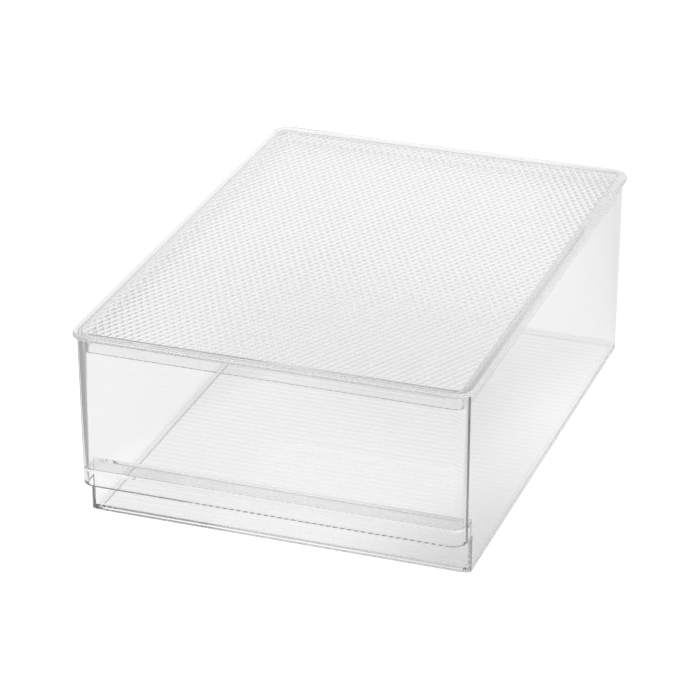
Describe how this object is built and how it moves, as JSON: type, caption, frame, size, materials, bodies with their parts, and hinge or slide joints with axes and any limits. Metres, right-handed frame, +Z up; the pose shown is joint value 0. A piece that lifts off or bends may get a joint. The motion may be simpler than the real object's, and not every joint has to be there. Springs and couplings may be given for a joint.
{
  "type": "storage bin with lid",
  "caption": "Clear rectangular storage bin with an inset finger pull under its front wall and a separate lift-off lid with a fine diamond texture on top and a plug skirt.",
  "frame": {"origin": "on the standing surface, under the middle of the lid's outline", "axes": "+X across the width to the right seen from the front, -Y out of the front face, +Z up"},
  "size_m": [0.21, 0.3, 0.1071],
  "materials": {
    "bin_plastic": "clear polished plastic",
    "lid_plastic": "clear polished plastic with a fine diamond texture on top"
  },
  "bodies": {
    "bin": {"bin": "bin_plastic"},
    "lid": {"lid": "lid_plastic"}
  },
  "joints": [
    {"name": "lid_lift", "type": "slide", "parent": "bin", "child": "lid", "axis": [0, 0, 1], "range_m": [0, 0.12]}
  ]
}
